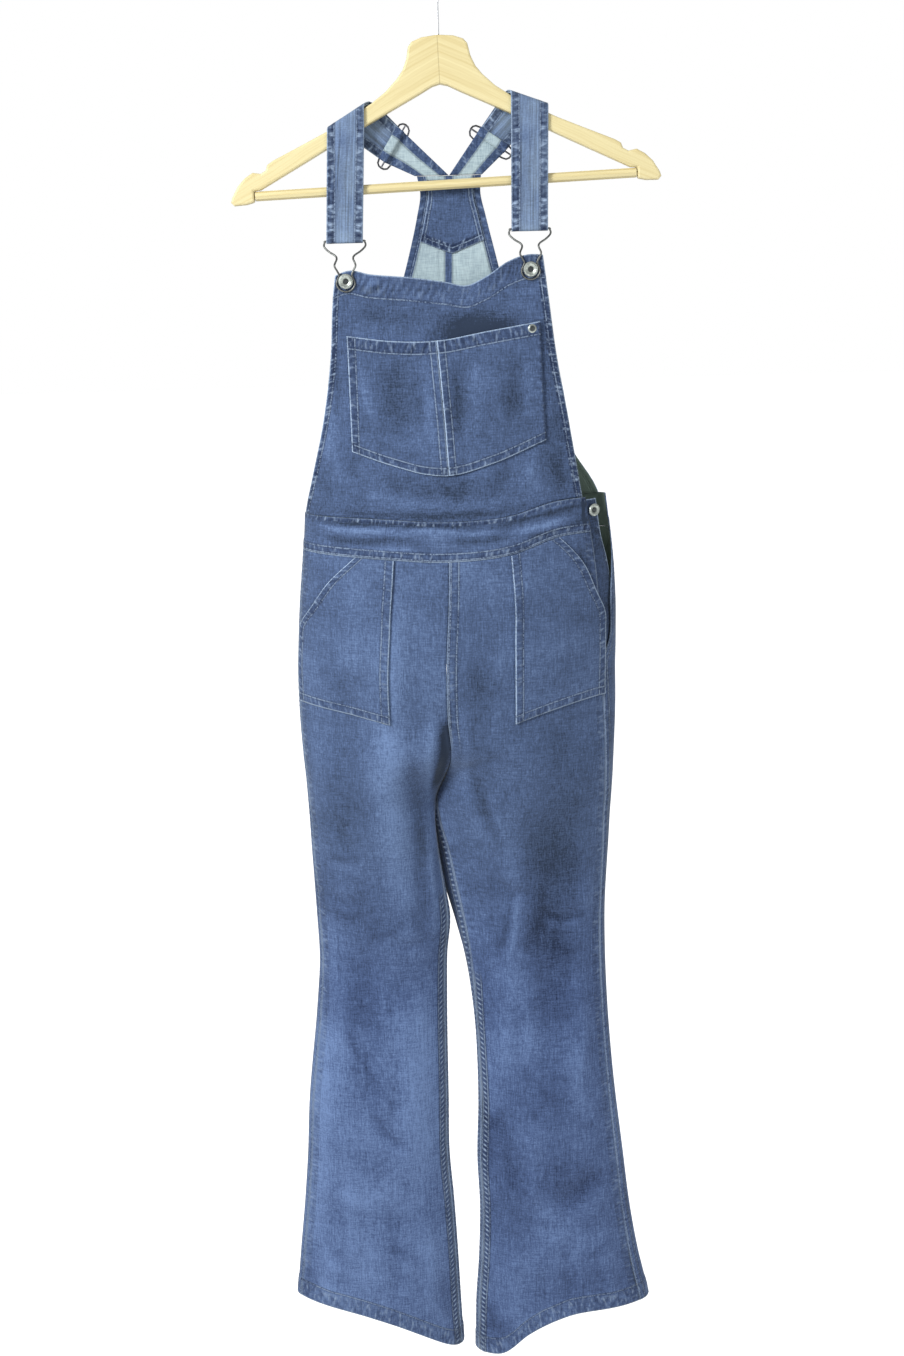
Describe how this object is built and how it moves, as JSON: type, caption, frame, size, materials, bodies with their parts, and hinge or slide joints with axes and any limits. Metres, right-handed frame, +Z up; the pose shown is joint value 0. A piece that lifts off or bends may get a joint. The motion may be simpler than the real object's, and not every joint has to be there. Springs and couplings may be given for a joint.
{
  "type": "denim bib dungarees on a wooden hanger",
  "caption": "Flared washed-denim bib dungarees with a split bib pocket, patch hip pockets and clasped straps, hung over the arms of a flat wooden hanger.",
  "frame": {"origin": "the inside top of the hanger's hook, where a rail carries it", "axes": "+X to the viewer's right along the hanger, +Y from the bib to the back, +Z up"},
  "size_m": [0.4604, 0.1288, 1.6924],
  "materials": {
    "denim": "washed indigo twill, matt, worn paler on the legs",
    "denim_pocket": "washed indigo twill, matt, a little darker",
    "denim_strap": "washed indigo twill, matt, pale along the middle",
    "denim_dark": "indigo twill, matt, less washed",
    "hanger_wood": "pale wood, satin varnish",
    "bar_wood": "pale wood, bare",
    "hook_steel": "bright plated wire",
    "wire_steel": "satin plated wire",
    "button_metal": "satin plated, bare"
  },
  "bodies": {
    "root": {"back_bib_left": "denim", "back_bib_right": "denim", "back_facing": "denim_dark", "back_leg_left": "denim", "back_leg_right": "denim", "back_waistband": "denim", "bib_button_left": "button_metal", "bib_button_right": "button_metal", "bib_pocket_left": "denim_pocket", "bib_pocket_right": "denim_pocket", "bib_pocket_rivet": "button_metal", "clasp_left": "wire_steel", "clasp_right": "wire_steel", "front_bib": "denim", "front_leg_left": "denim", "front_leg_right": "denim", "front_waistband": "denim", "hanger_bar": "bar_wood", "hanger_hook": "hook_steel", "hanger_wood": "hanger_wood", "hip_pocket_left": "denim", "hip_pocket_right": "denim", "placket_button": "button_metal", "side_placket": "denim_dark", "slider_bar_left": "wire_steel", "slider_bar_right": "wire_steel", "slider_frame_left": "wire_steel", "slider_frame_right": "wire_steel", "strap_left": "denim_strap", "strap_right": "denim_strap"}
  },
  "joints": []
}
